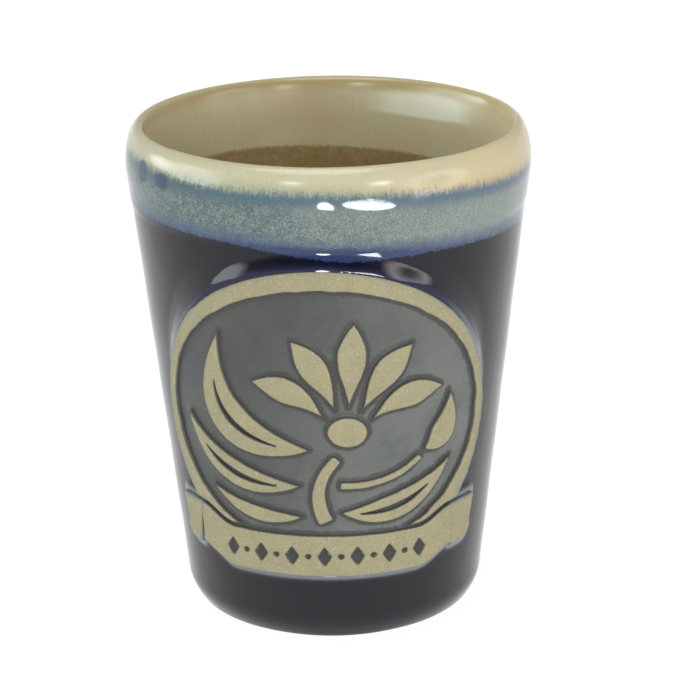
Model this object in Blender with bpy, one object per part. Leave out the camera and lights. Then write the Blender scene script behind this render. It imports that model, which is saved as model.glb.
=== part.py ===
"""A stoneware shot glass: a thrown cup, its glaze coats, and a pressed clay medallion luted to its front.

Frame: +Z up, origin on the axis at the foot, the medallion faces -Y. Blender works in metres.
The cup and its glaze coats are turned about Z. Everything on the medallion is drawn flat, in the
medallion's own (across, up) coordinates, and then laid round the tapering wall.
"""

import math

import bmesh
import bpy
from mathutils import Vector
from mathutils.geometry import delaunay_2d_cdt

MM = 0.001

# Cup, measured over the glaze
HEIGHT = 63.5 * MM
RIM_RADIUS = 25.3 * MM  # where the straight wall ends and the lip begins to round over
BASE_RADIUS = 18.6 * MM  # the wall's line carried down to the table
WALL = 3.2 * MM
FLOOR = 6.0 * MM
HEEL_WIDTH = 4.6 * MM  # the rounded edge between wall and foot
HEEL_HEIGHT = 4.9 * MM
LIP_OUTER_DROP = 5.2 * MM
LIP_INNER_DROP = 3.0 * MM
LIP_CREST_INSET = 1.8 * MM  # crest of the lip, in from RIM_RADIUS
CORNER = 5.0 * MM  # the rounded corner between inner wall and floor
FOOT_RECESS_RADIUS = 10.0 * MM
FOOT_RECESS_DEPTH = 0.8 * MM

# Glaze
GLAZE = 0.4 * MM
GAP = 0.3 * MM  # clearance left between touching solids
CLAY = GLAZE + GAP  # how far the clay lies under the glazed surface
GLAZE_END = 1.2 * MM  # the foot is bare below this height
OUTER_DIP = 53.4 * MM  # how far down the rim glaze runs outside
INNER_DIP = 55.4 * MM  # and inside

# Medallion, across the wall and up it from its own centre
MEDALLION_CENTRE = 31.2 * MM  # above the table
RING_OUTER = (22.2 * MM, 20.4 * MM)
RING_INNER = (20.7 * MM, 17.3 * MM)
RING_INNER_RISE = 0.3 * MM  # the ring is thicker at the top
GROOVE = 0.5 * MM  # between neighbouring raised shapes
PLAQUE_MARGIN = 0.35 * MM  # the plaque shows this far beyond the ribbon
PLAQUE_LIFT = (-GLAZE, 0.0)  # lifts are measured out from the glazed wall
RELIEF_LIFT = (GAP, 0.95 * MM)
GROUND_LIFT = (GAP, 0.6 * MM)

# Ribbon banner across the medallion's foot
RIBBON_TOP = -15.1 * MM
RIBBON_BOTTOM = -20.8 * MM
RIBBON_HALF = 16.9 * MM
RIBBON_CURL = 2.0 * MM  # how far its ends rise
CURL_START = 11.5 * MM
TAIL_END = 21.3 * MM
TAIL_TOP = -13.2 * MM
TAIL_FOOT = -18.9 * MM
LOZENGES = 7
LOZENGE_PITCH = 3.9 * MM
LOZENGE_HALF = (0.95 * MM, 1.45 * MM)
DOT_RADIUS = 0.42 * MM

# Flower spray inside the ring
PETALS = 5
PETAL_SPREAD = math.radians(58)
PETAL_ROOT = 3.3 * MM
PETAL_REACH = 14.4 * MM
PETAL_HALF = 1.75 * MM
CALYX_HALF = (2.4 * MM, 2.0 * MM)
BLOOM = (3.0 * MM, -1.0 * MM)
BLOOM_LEAN = math.radians(-4)
RIB_HALF = 0.32 * MM
STEM = ((0.3 * MM, -13.2 * MM), (-2.0 * MM, -8.4 * MM), (1.8 * MM, -4.5 * MM))
BUD_STEM = ((2.0 * MM, -8.2 * MM), (8.2 * MM, -8.6 * MM), (12.0 * MM, -5.2 * MM))
BUD = ((12.6 * MM, -4.4 * MM), (16.4 * MM, -3.4 * MM), (16.4 * MM, 2.6 * MM))
LEAVES = {  # base, control, tip, half width, whether it has a rib
    "leaf_upper_left": ((-1.6 * MM, -3.4 * MM), (-16.8 * MM, -3.2 * MM), (-12.8 * MM, 11.2 * MM), 2.6 * MM, True),
    "leaf_middle_left": ((-2.8 * MM, -8.3 * MM), (-13.4 * MM, -9.6 * MM), (-18.2 * MM, -0.6 * MM), 1.7 * MM, True),
    "leaf_lower_left": ((-2.6 * MM, -12.5 * MM), (-9.0 * MM, -13.8 * MM), (-14.4 * MM, -9.7 * MM), 1.0 * MM, False),
    "leaf_lower_right": ((2.2 * MM, -11.9 * MM), (10.0 * MM, -13.4 * MM), (16.4 * MM, -6.2 * MM), 1.75 * MM, True),
}

# Meshing
SEGMENTS = 40
ARC_STEPS = 5
PLATE_STEP = 2.8 * MM
SHARP_ANGLE = math.radians(35)

SLOPE = (RIM_RADIUS - BASE_RADIUS) / (HEIGHT - LIP_OUTER_DROP)

COLOURS = {  # base colour, roughness
    "bare_clay": ((0.52, 0.46, 0.28), 0.85),
    "foot_clay": ((0.50, 0.42, 0.28), 0.9),
    "cobalt_glaze": ((0.012, 0.012, 0.035), 0.06),
    "rim_glaze": ((0.30, 0.37, 0.36), 0.1),
    "liner_glaze": ((0.20, 0.14, 0.07), 0.1),
    "grey_glaze": ((0.13, 0.14, 0.13), 0.15),
}


# ---------------------------------------------------------------- scene helpers

def clear_scene():
    for obj in list(bpy.data.objects):
        bpy.data.objects.remove(obj)


def material(name):
    """The Principled material of that name, made once."""
    found = bpy.data.materials.get(name)
    if found:
        return found
    made = bpy.data.materials.new(name)
    made.use_nodes = True
    colour, roughness = COLOURS[name]
    shader = made.node_tree.nodes["Principled BSDF"]
    shader.inputs["Base Color"].default_value = (*colour, 1)
    shader.inputs["Roughness"].default_value = roughness
    shader.inputs["Metallic"].default_value = 0.0
    return made


def add_object(name, mesh_data, material_name, parent):
    """Turns a bmesh into a named object under the parent empty."""
    bmesh.ops.recalc_face_normals(mesh_data, faces=mesh_data.faces)
    mesh = bpy.data.meshes.new(name)
    mesh_data.to_mesh(mesh)
    mesh_data.free()
    mesh.shade_smooth()
    mesh.set_sharp_from_angle(angle=SHARP_ANGLE)
    obj = bpy.data.objects.new(name, mesh)
    bpy.context.scene.collection.objects.link(obj)
    obj.data.materials.append(material(material_name))
    obj.parent = parent
    return obj


# ---------------------------------------------------------------- the turned cup

def outer_radius(z):
    return BASE_RADIUS + SLOPE * z


def quarter(start, end, first_axis):
    """A quarter ellipse from start to end that leaves start along first_axis, without start itself."""
    (r0, z0), (r1, z1) = start, end
    points = []
    for i in range(1, ARC_STEPS + 1):
        a = math.pi / 2 * i / ARC_STEPS
        along, across = math.sin(a), 1 - math.cos(a)
        share_r, share_z = (along, across) if first_axis == "r" else (across, along)
        points.append((r0 + (r1 - r0) * share_r, z0 + (z1 - z0) * share_z))
    return points


def heel(skin):
    """The rounded edge at the foot, from the table up to the wall."""
    start = (outer_radius(HEEL_HEIGHT) - HEEL_WIDTH - skin, 0.0)
    end = (outer_radius(HEEL_HEIGHT) - skin, HEEL_HEIGHT)
    return [start, *quarter(start, end, "r")]


def lip(skin):
    """Over the rim, from the top of the outer wall to the top of the inner wall."""
    start = (RIM_RADIUS - skin, HEIGHT - LIP_OUTER_DROP)
    crest = (RIM_RADIUS - LIP_CREST_INSET, HEIGHT - skin)
    inner_z = HEIGHT - LIP_INNER_DROP
    end = (outer_radius(inner_z) - WALL + skin, inner_z)
    return [start, *quarter(start, crest, "z"), *quarter(crest, end, "r")]


def well(skin):
    """The inner corner and floor, from the foot of the inner wall to the axis."""
    start_z = FLOOR + CORNER
    start = (outer_radius(start_z) - WALL + skin, start_z)
    end = (start[0] - skin - CORNER, FLOOR - skin)
    return [start, *quarter(start, end, "z"), (0.0, FLOOR - skin)]


def wall_point(z, skin, inside=False):
    return (outer_radius(z) - WALL + skin, z) if inside else (outer_radius(z) - skin, z)


def cut_below(points, z):
    """The stretch of an upward profile above height z, starting at a point on it."""
    for i, (low, high) in enumerate(zip(points, points[1:])):
        if low[1] <= z < high[1]:
            share = (z - low[1]) / (high[1] - low[1])
            return [(low[0] + (high[0] - low[0]) * share, z), *points[i + 1:]]
    raise ValueError("the profile doesn't reach that height")


def turned(name, loop, material_name, parent):
    """Spins a profile loop of (radius, z) points about Z. Points on the axis are merged."""
    made = bmesh.new()
    closed = loop[0][0] > 0
    points = [made.verts.new((r, 0, z)) for r, z in loop]
    pairs = list(zip(points, points[1:])) + ([(points[-1], points[0])] if closed else [])
    edges = [made.edges.new(pair) for pair in pairs]
    bmesh.ops.spin(
        made,
        geom=points + edges,
        cent=(0, 0, 0),
        axis=(0, 0, 1),
        angle=2 * math.pi,
        steps=SEGMENTS,
        use_merge=True,
    )
    bmesh.ops.remove_doubles(made, verts=made.verts, dist=1e-6)
    return add_object(name, made, material_name, parent)


def cup_body(parent):
    """The clay itself, with a shallow recess trimmed into its foot."""
    recess = [(0.0, FOOT_RECESS_DEPTH), (FOOT_RECESS_RADIUS, FOOT_RECESS_DEPTH), (FOOT_RECESS_RADIUS, 0.0)]
    turned("cup_body", recess + heel(CLAY) + lip(CLAY) + well(CLAY), "foot_clay", parent)


def coat(name, surface, material_name, parent):
    """A glaze coat: surface(skin) is its profile at a depth, and the coat is GLAZE thick."""
    return turned(name, surface(0.0) + surface(GLAZE)[::-1], material_name, parent)


def cobalt_surface(skin):
    return cut_below(heel(skin), GLAZE_END) + [wall_point(OUTER_DIP - GAP, skin)]


def rim_surface(skin):
    return [wall_point(OUTER_DIP, skin), *lip(skin), wall_point(INNER_DIP, skin, inside=True)]


def liner_surface(skin):
    return [wall_point(INNER_DIP - GAP, skin, inside=True), *well(skin)]


def liner_coat(parent):
    """The liner covers the floor, so both of its surfaces end on the axis."""
    turned("liner_glaze_coat", liner_surface(0.0)[::-1] + liner_surface(GLAZE), "liner_glaze", parent)


# ---------------------------------------------------------------- flat outlines, in metres

def ellipse(centre, half, steps):
    angles = [2 * math.pi * i / steps for i in range(steps)]
    return [(centre[0] + half[0] * math.cos(a), centre[1] + half[1] * math.sin(a)) for a in angles]


def anticlockwise(outline):
    area = sum(a[0] * b[1] - b[0] * a[1] for a, b in zip(outline, outline[1:] + outline[:1]))
    return outline if area > 0 else outline[::-1]


def grow(outline, distance):
    """The outline moved outwards by distance, with its sharp corners blunted."""
    outline = anticlockwise(outline)
    grown = []
    for before, here, after in zip(outline[-1:] + outline[:-1], outline, outline[1:] + outline[:1]):
        first = (Vector(here) - Vector(before)).normalized()
        second = (Vector(after) - Vector(here)).normalized()
        normal = Vector((first.y + second.y, -first.x - second.x))
        reach = distance * 2 / max(normal.length_squared, 0.8)
        grown.append((here[0] + normal.x * reach, here[1] + normal.y * reach))
    return grown


def even(outline, step):
    """The outline with its long edges divided, so that it can bend round the wall."""
    points = []
    for a, b in zip(outline, outline[1:] + outline[:1]):
        parts = max(1, math.ceil(math.dist(a, b) / step))
        points += [(a[0] + (b[0] - a[0]) * i / parts, a[1] + (b[1] - a[1]) * i / parts) for i in range(parts)]
    return points


def smooth_step(x):
    x = min(1.0, max(0.0, x))
    return x * x * (3 - 2 * x)


def curve_point(base, control, tip, t):
    """A point on the curve from base to tip, and the unit direction across it."""
    base, control, tip = Vector(base), Vector(control), Vector(tip)
    here = base * (1 - t) ** 2 + control * 2 * t * (1 - t) + tip * t ** 2
    along = ((control - base) * (1 - t) + (tip - control) * t).normalized()
    return here, Vector((-along.y, along.x))


def stroke(base, control, tip, widths, steps=8):
    """A tapering band along a curve; widths are its half widths at the two ends."""
    left, right = [], []
    for i in range(steps + 1):
        t = i / steps
        here, across = curve_point(base, control, tip, t)
        half = widths[0] + (widths[1] - widths[0]) * t
        left.append(tuple(here + across * half))
        right.append(tuple(here - across * half))
    return left + right[::-1]


def leaf(base, control, tip, half_width, belly, steps=10):
    """A blade pointed at both ends; belly over 1 moves its widest place towards the tip."""
    left, right = [], []
    for i in range(1, steps):
        here, across = curve_point(base, control, tip, i / steps)
        half = half_width * math.sin(math.pi * (i / steps) ** belly)
        left.append(tuple(here + across * half))
        right.append(tuple(here - across * half))
    return [tuple(base), *right, tuple(tip), *left[::-1]]


def rib(base, control, tip):
    """The slit along the middle of a broad leaf, following the first part of its curve."""
    start, _ = curve_point(base, control, tip, 0.14)
    middle, _ = curve_point(base, control, tip, 0.45)
    end, _ = curve_point(base, control, tip, 0.74)
    bend = middle * 2 - (start + end) * 0.5
    return leaf(tuple(start), tuple(bend), tuple(end), RIB_HALF, 1.0, steps=8)


def turned_about(points, centre, angle):
    c, s = math.cos(angle), math.sin(angle)
    return [(centre[0] + x * c - y * s, centre[1] + x * s + y * c) for x, y in points]


def petal(place):
    """One blade of the bloom's fan; place runs from -1 on the left to 1 on the right."""
    angle = -place * PETAL_SPREAD
    reach = PETAL_REACH * (1 - 0.10 * abs(place))
    curl = 1.5 * MM * place
    half = PETAL_HALF * (1 - 0.06 * abs(place))
    upright = leaf((0.0, PETAL_ROOT), (-curl, (PETAL_ROOT + reach) / 2), (curl, reach), half, 1.35)
    return turned_about(turned_about(upright, (0.0, 0.0), angle), BLOOM, BLOOM_LEAN)


# ---------------------------------------------------------------- the medallion's outlines

def ring_outlines():
    outer = ellipse((0, 0), RING_OUTER, 60)
    inner = ellipse((0, RING_INNER_RISE), RING_INNER, 56)
    return outer, inner


def ribbon_edge(level, across, bow=0.0):
    """Height of a ribbon edge at a distance across: level in the middle, curling up at the ends."""
    rise = smooth_step((abs(across) - CURL_START) / (RIBBON_HALF - CURL_START))
    return level + RIBBON_CURL * rise + bow


def ribbon():
    steps = 20
    across = [RIBBON_HALF * (2 * i / steps - 1) for i in range(steps + 1)]
    bottom = [(x, ribbon_edge(RIBBON_BOTTOM, x)) for x in across]
    top = [(x, ribbon_edge(RIBBON_TOP, x)) for x in across]
    return bottom + top[::-1]


def tail(side):
    """A folded ribbon end, seen beyond the banner; side is -1 on the left and 1 on the right."""
    near = RIBBON_HALF + GROOVE
    corners = [
        (near, TAIL_FOOT - 0.4 * MM),
        (TAIL_END - 0.9 * MM, TAIL_FOOT + 0.5 * MM),
        (TAIL_END, TAIL_TOP + 0.3 * MM),
        (near, TAIL_TOP + 0.1 * MM),
    ]
    return [(side * x, y) for x, y in corners]


def ribbon_ornament():
    """A row of lozenges with dots between them, cut through the banner."""
    middle = (RIBBON_TOP + RIBBON_BOTTOM) / 2
    half_row = LOZENGE_PITCH * (LOZENGES - 1) / 2
    cuts = []
    for i in range(LOZENGES):
        x = -half_row + LOZENGE_PITCH * i
        y = ribbon_edge(middle, x)
        cuts.append(ellipse((x, y), LOZENGE_HALF, 4))
        if i < LOZENGES - 1:
            between = x + LOZENGE_PITCH / 2
            cuts.append(ellipse((between, ribbon_edge(middle, between)), (DOT_RADIUS, DOT_RADIUS), 8))
    return cuts


def emblem():
    """{node: (outline, cuts)} of the flower spray's raised shapes."""
    shapes = {
        "bloom_calyx": (turned_about(ellipse((0, 0), CALYX_HALF, 20), BLOOM, BLOOM_LEAN), []),
        "spray_stem": (stroke(*STEM, (0.95 * MM, 0.62 * MM)), []),
        "bud_stem": (stroke(*BUD_STEM, (0.5 * MM, 0.42 * MM)), []),
        "bud": (leaf(*BUD, 1.7 * MM, 0.85), []),
    }
    for i in range(PETALS):
        shapes[f"bloom_petal_{i + 1}"] = (petal(2 * i / (PETALS - 1) - 1), [])
    for name, (base, control, tip, half_width, ribbed) in LEAVES.items():
        cuts = [rib(base, control, tip)] if ribbed else []
        shapes[name] = (leaf(base, control, tip, half_width, 0.85), cuts)
    return shapes


# ---------------------------------------------------------------- plates laid round the wall

def on_wall(across, up, lift):
    """A point on the medallion, lift out from the glazed wall."""
    z = MEDALLION_CENTRE + up
    angle = across / outer_radius(z)
    radius = outer_radius(z) + lift
    return (radius * math.sin(angle), -radius * math.cos(angle), z)


def far_from(point, outlines, distance):
    """Whether the point keeps that distance from every edge of the outlines."""
    p = Vector(point)
    for outline in outlines:
        for a, b in zip(outline, outline[1:] + outline[:1]):
            a, side = Vector(a), Vector(b) - Vector(a)
            share = min(1.0, max(0.0, (p - a).dot(side) / side.length_squared))
            if (p - a - side * share).length < distance:
                return False
    return True


def region(add, cut):
    """Triangles covering what is inside any outline of add and outside every outline of cut."""
    outlines = [even(anticlockwise(o), PLATE_STEP) for o in add + cut]
    points = [p for o in outlines for p in o]
    faces, start = [], 0
    for o in outlines:
        faces.append(list(range(start, start + len(o))))
        start += len(o)
    low = [min(p[k] for p in points) for k in range(2)]
    high = [max(p[k] for p in points) for k in range(2)]
    for i in range(int((high[0] - low[0]) / PLATE_STEP) + 1):
        for j in range(int((high[1] - low[1]) / PLATE_STEP) + 1):
            p = (low[0] + (i + 0.5 * (j % 2)) * PLATE_STEP, low[1] + j * PLATE_STEP)
            if far_from(p, outlines, 0.35 * PLATE_STEP):
                points.append(p)
    scaled = [Vector(p) / MM for p in points]  # the triangulation's tolerances suit numbers near 1
    flat, _, triangles, _, _, sources = delaunay_2d_cdt(scaled, [], faces, 0, 1e-5)
    kept = []
    for triangle, owners in zip(triangles, sources):
        if owners and all(owner < len(add) for owner in owners):
            kept.append(triangle)
    return [tuple(p * MM) for p in flat], kept


def plate(name, add, cut, lift, material_name, parent):
    """A solid that covers a region of the medallion between two lifts."""
    flat, triangles = region(add, cut)
    made = bmesh.new()
    used = sorted({i for t in triangles for i in t})
    sheets = [{i: made.verts.new(on_wall(*flat[i], height)) for i in used} for height in lift]
    sides = {}
    for triangle in triangles:
        for sheet in sheets:
            made.faces.new([sheet[i] for i in triangle])
        for a, b in zip(triangle, triangle[1:] + triangle[:1]):
            sides[frozenset((a, b))] = None if frozenset((a, b)) in sides else (a, b)
    low, high = sheets
    for a, b in filter(None, sides.values()):
        made.faces.new((low[a], low[b], high[b], high[a]))
    return add_object(name, made, material_name, parent)


def medallion(parent):
    """The plaque, the raised border and ribbon, the emblem, and the glaze that floods the ground."""
    outer, inner = ring_outlines()
    banner = ribbon()
    tails = {"ribbon_tail_left": tail(-1), "ribbon_tail_right": tail(1)}
    raised_foot = [banner, *tails.values()]
    plaque = [outer, *[grow(o, PLAQUE_MARGIN) for o in raised_foot]]
    plate("medallion_plaque", plaque, [], PLAQUE_LIFT, "bare_clay", parent)
    around_foot = [grow(o, GROOVE) for o in raised_foot]
    plate("medallion_ring", [outer], [inner, *around_foot], RELIEF_LIFT, "bare_clay", parent)
    plate("ribbon_banner", [banner], ribbon_ornament(), RELIEF_LIFT, "bare_clay", parent)
    for name, outline in tails.items():
        plate(name, [outline], [], RELIEF_LIFT, "bare_clay", parent)
    shapes = emblem()
    for name, (outline, cuts) in shapes.items():
        plate(name, [outline], cuts, RELIEF_LIFT, "bare_clay", parent)
    islands = [grow(outline, GAP) for outline, _ in shapes.values()]
    plate("medallion_ground_glaze", [grow(inner, -GAP)], islands + around_foot, GROUND_LIFT, "grey_glaze", parent)
    return [grow(o, GAP) for o in plaque]


def open_for_medallion(target, outlines, parent):
    """Cuts the plaque's seat through a glaze coat."""
    cutter = plate("plaque_seat_cutter", outlines, [], (-3 * MM, 3 * MM), "bare_clay", parent)
    cutter.hide_render = True
    cutter.display_type = "WIRE"
    cut = target.modifiers.new("plaque_seat", "BOOLEAN")
    cut.operation = "DIFFERENCE"
    cut.solver = "EXACT"
    cut.object = cutter


def main():
    clear_scene()
    root = bpy.data.objects.new("shot_glass", None)
    bpy.context.scene.collection.objects.link(root)
    cup_body(root)
    cobalt = coat("cobalt_glaze_coat", cobalt_surface, "cobalt_glaze", root)
    coat("rim_glaze_coat", rim_surface, "rim_glaze", root)
    liner_coat(root)
    seat = medallion(root)
    open_for_medallion(cobalt, seat, root)


main()
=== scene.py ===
"""Looks of the stoneware shot glass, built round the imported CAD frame.

Shapes are worked out in millimetres, in the row frame: +Z up, the medallion facing -Y. The medallion
is drawn flat, in (across, up) coordinates from its own centre, and laid round the tapering wall.
"""

import math

import bpy
import numpy as np
from mathutils import Matrix, Vector, noise
from mathutils.geometry import delaunay_2d_cdt

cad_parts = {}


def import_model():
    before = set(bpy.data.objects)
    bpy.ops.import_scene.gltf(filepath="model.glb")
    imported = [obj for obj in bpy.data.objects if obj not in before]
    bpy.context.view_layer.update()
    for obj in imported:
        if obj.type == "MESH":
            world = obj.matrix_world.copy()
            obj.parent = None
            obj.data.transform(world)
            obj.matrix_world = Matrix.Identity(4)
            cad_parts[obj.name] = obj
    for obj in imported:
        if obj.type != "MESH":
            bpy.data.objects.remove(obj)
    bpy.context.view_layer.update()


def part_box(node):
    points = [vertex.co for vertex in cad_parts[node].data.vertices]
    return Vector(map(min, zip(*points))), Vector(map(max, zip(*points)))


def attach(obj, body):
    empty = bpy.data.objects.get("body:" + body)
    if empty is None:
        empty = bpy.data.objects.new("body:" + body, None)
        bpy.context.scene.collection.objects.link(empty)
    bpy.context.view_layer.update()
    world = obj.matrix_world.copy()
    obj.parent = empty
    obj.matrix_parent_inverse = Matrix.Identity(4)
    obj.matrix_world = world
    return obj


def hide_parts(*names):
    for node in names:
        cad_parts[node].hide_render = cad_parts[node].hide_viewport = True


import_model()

MM = 0.001


def box_mm(node):
    low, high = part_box(node)
    return np.array(low) / MM, np.array(high) / MM


# ---------------------------------------------------------------- measures, mm

HEIGHT = box_mm("rim_glaze_coat")[1][2]
RIM_RADIUS = box_mm("rim_glaze_coat")[1][0]
OUTER_DIP = box_mm("rim_glaze_coat")[0][2]
GLAZE_END = box_mm("cobalt_glaze_coat")[0][2]
INNER_DIP = box_mm("liner_glaze_coat")[1][2]
RING_OUTER = (22.2, 20.4)
RING_INNER = (20.7, 17.3)
RING_INNER_RISE = 0.3
MEDALLION_CENTRE = box_mm("medallion_ring")[1][2] - RING_OUTER[1]

BASE_RADIUS = 18.6
WALL = 3.2
FLOOR = 6.0
HEEL = (4.6, 4.9)
LIP_OUTER_DROP = 5.2
LIP_INNER_DROP = 6.0
LIP_CREST_INSET = 1.8
CORNER = 5.0
FOOT_RECESS = (10.0, 0.8)
FOOT_TOP = 3.0  # the foot's clay is meshed finely up to here
CROWN_FOOT = 48.5  # the cobalt is meshed finely above this
COAT = 0.35
SLOPE = (RIM_RADIUS - BASE_RADIUS) / (HEIGHT - LIP_OUTER_DROP)

RELIEF_TOP = 0.95
TAIL_TOP_LIFT = 0.82
RELIEF_BASE = 0.1
GROUND_LEVEL = 0.42
PLAQUE_SPAN = (-0.3, 0.22)  # the plaque's base and top
GROUND_BASE = 0.24
EDGE_ROWS = (0.06, 0.14, 0.26, 0.42)  # distances from an outline at which its mesh has rows
CARVE_ROWS = (0.09, 0.2)
RELIEF_SHARP = 62  # edges over these angles, in degrees, are drawn sharp
GROUND_SHARP = 60
LATHE_SHARP = 50
GROOVE = 0.5

RIBBON_TOP = -15.1
RIBBON_BOTTOM = -20.8
RIBBON_HALF = 16.9
RIBBON_CURL = 2.0
BEHIND_RIBBON = ((-18.6, -18.2), (18.6, -18.2), (18.2, -13.9), (-18.2, -13.9))
GROUND_BEHIND_RIBBON = ((-19.5, -17.6), (19.5, -17.6), (18.6, -14.2), (-18.6, -14.2))
CURL_START = 11.5
TAIL_END = 21.3
TAIL_TOP = -13.2
TAIL_FOOT = -18.9
LOZENGES = 7
LOZENGE_PITCH = 3.9
LOZENGE_HALF = (0.95, 1.45)
DOT_RADIUS = 0.42

PETALS = 5
PETAL_SPREAD = math.radians(58)
PETAL_ROOT = 3.3
PETAL_REACH = 14.4
PETAL_HALF = 1.75
CALYX_HALF = (2.4, 2.0)
BLOOM = (3.0, -1.0)
BLOOM_LEAN = math.radians(-4)
RIB_HALF = 0.32
STEM = ((0.3, -13.2), (-2.0, -8.4), (1.8, -4.5))
BUD_STEM = ((2.0, -8.2), (8.2, -8.6), (12.0, -5.2))
BUD = ((12.6, -4.4), (16.4, -3.4), (16.4, 2.6))
PAINTED_DARK_STREAKS = ((-1.045, 0.050, 61.4, 58.6), (-0.86, 0.060, 60.8, 58.8))  # painted reflection: dark streaks on the lip for the gaps between a window's reflections; angle, half width, top, foot
PAINTED_LIT_PATCH = (2.58, 0.34, 63.0, 58.9)  # the same, for a painted patch of light inside, where light from the left falls on the far wall
LEAVES = {  # base, control, tip, half width, whether it has a rib
    "leaf_upper_left": ((-1.6, -3.4), (-16.8, -3.2), (-12.8, 11.2), 2.6, True),
    "leaf_middle_left": ((-2.8, -8.3), (-13.4, -9.6), (-18.2, -0.6), 1.7, True),
    "leaf_lower_left": ((-2.6, -12.5), (-9.0, -13.8), (-14.4, -9.7), 1.0, False),
    "leaf_lower_right": ((2.2, -11.9), (10.0, -13.4), (16.4, -6.2), 1.75, True),
}

VIEW_TURN = math.radians(3.36)  # the photograph looks at the medallion from a little to its right


# ---------------------------------------------------------------- small helpers

def smooth_step(x, low=0.0, high=1.0):
    t = np.clip((np.asarray(x, float) - low) / (high - low), 0, 1)
    return t * t * (3 - 2 * t)


def bell(x, centre, width):
    return np.exp(-(((np.asarray(x, float) - centre) / width) ** 2))


def waves(x, y, seed, scale, count=5):
    """A smooth, seeded bump field from a few plane waves, about -1 to 1."""
    draw = np.random.default_rng(seed)
    total = np.zeros(np.broadcast(x, y).shape)
    for _ in range(count):
        heading, phase = draw.uniform(0, 2 * math.pi, 2)
        pace = 2 * math.pi / (scale * draw.uniform(0.7, 1.5))
        total += np.sin(pace * (x * math.cos(heading) + y * math.sin(heading)) + phase)
    return total / count * 1.4


# ---------------------------------------------------------------- cup profile

def outer_radius(z):
    return BASE_RADIUS + SLOPE * z


def quarter(start, end, first_axis, steps=40):
    """A quarter of an ellipse between two points, which leaves the first one along an axis."""
    a = np.linspace(0, math.pi / 2, steps + 1)[1:]
    along, across = np.sin(a), 1 - np.cos(a)
    shares = zip(along, across) if first_axis == "r" else zip(across, along)
    reach_r, reach_z = end[0] - start[0], end[1] - start[1]
    return [(start[0] + reach_r * u, start[1] + reach_z * v) for u, v in shares]


def inner_flare(crest, steps=60):
    """From the crest of the lip down to the straight inner wall, which it meets without a corner."""
    points = []
    reach = crest[0] - (outer_radius(HEIGHT) - WALL)
    for a in np.linspace(0, math.pi / 2, steps + 1)[1:]:
        z = HEIGHT - LIP_INNER_DROP * (1 - math.cos(a))
        points.append((outer_radius(z) - WALL + reach * (1 - math.sin(a)), z))
    return points


def cup_profile():
    """(radius, height, travel) along the glazed surface, from the foot outside to the axis inside.

    travel is the distance along the surface from the crest of the lip, positive outside.
    """
    foot = (outer_radius(HEEL[1]) - HEEL[0], 0.0)
    wall_start = (outer_radius(HEEL[1]), HEEL[1])
    wall_end = (RIM_RADIUS, HEIGHT - LIP_OUTER_DROP)
    crest = (RIM_RADIUS - LIP_CREST_INSET, HEIGHT)
    inner_foot = (outer_radius(FLOOR + CORNER) - WALL, FLOOR + CORNER)
    well = (inner_foot[0] - CORNER, FLOOR)
    points = [foot, *quarter(foot, wall_start, "r"), wall_end, *quarter(wall_end, crest, "z")]
    points += inner_flare(crest)
    points += [inner_foot, *quarter(inner_foot, well, "z"), (0.0, FLOOR)]
    points = np.array(points)
    length = np.concatenate([[0], np.cumsum(np.hypot(*np.diff(points, axis=0).T))])
    step = 0.05
    even = np.arange(0, length[-1], step)
    fine = np.stack([np.interp(even, length, points[:, k]) for k in range(2)], axis=1)
    spread = int(0.7 / step)
    kernel = bell(np.arange(-3 * spread, 3 * spread + 1), 0, spread)
    kernel /= kernel.sum()
    pad = 3 * spread
    eased = []
    for k in range(2):
        column = fine[:, k]
        head = 2 * column[0] - column[pad:0:-1]
        tail = 2 * column[-1] - column[-2:-pad - 2:-1]
        eased.append(np.convolve(np.concatenate([head, column, tail]), kernel, "valid"))
    r, z = np.maximum(eased[0], 0), eased[1]
    z *= HEIGHT / z.max()
    length = np.concatenate([[0], np.cumsum(np.hypot(np.diff(r), np.diff(z)))])
    return r, z, length[z.argmax()] - length


PROFILE_R, PROFILE_Z, PROFILE_T = cup_profile()


def surface_at(travel):
    """(radius, height, outward normal's radius and height parts) at distances along the surface."""
    backwards = PROFILE_T[::-1]
    r = np.interp(travel, backwards, PROFILE_R[::-1])
    z = np.interp(travel, backwards, PROFILE_Z[::-1])
    d_r = np.interp(travel, backwards, np.gradient(PROFILE_R, PROFILE_T)[::-1])
    d_z = np.interp(travel, backwards, np.gradient(PROFILE_Z, PROFILE_T)[::-1])
    size = np.hypot(d_r, d_z)
    return r, z, -d_z / size, d_r / size


def travel_outside(z):
    """The travel of a height on the outer surface."""
    crest = PROFILE_Z.argmax()
    return np.interp(z, PROFILE_Z[:crest], PROFILE_T[:crest])


def travel_inside(z):
    crest = PROFILE_Z.argmax()
    return np.interp(z, PROFILE_Z[crest:][::-1], PROFILE_T[crest:][::-1])


# ---------------------------------------------------------------- flat outlines

def ellipse(centre, half, steps):
    a = np.arange(steps) * 2 * math.pi / steps
    return np.stack([centre[0] + half[0] * np.cos(a), centre[1] + half[1] * np.sin(a)], axis=1)


def anticlockwise(outline):
    outline = np.asarray(outline, float)
    x, y = outline.T
    area = np.sum(x * np.roll(y, -1) - y * np.roll(x, -1))
    return outline if area > 0 else outline[::-1]


def even(outline, step):
    """The closed outline with long edges divided."""
    points = []
    for a, b in zip(outline, np.roll(outline, -1, axis=0)):
        parts = max(1, math.ceil(math.dist(a, b) / step))
        points += [a + (b - a) * i / parts for i in range(parts)]
    return np.array(points)


def grow(outline, distance):
    """The outline moved outwards, with its sharp corners blunted."""
    outline = anticlockwise(outline)
    first = outline - np.roll(outline, 1, axis=0)
    second = np.roll(outline, -1, axis=0) - outline
    first /= np.linalg.norm(first, axis=1)[:, None]
    second /= np.linalg.norm(second, axis=1)[:, None]
    total = first + second
    normal = np.stack([total[:, 1], -total[:, 0]], axis=1)
    reach = distance * 2 / np.maximum((normal ** 2).sum(axis=1), 0.8)
    return outline + normal * reach[:, None]


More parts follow.
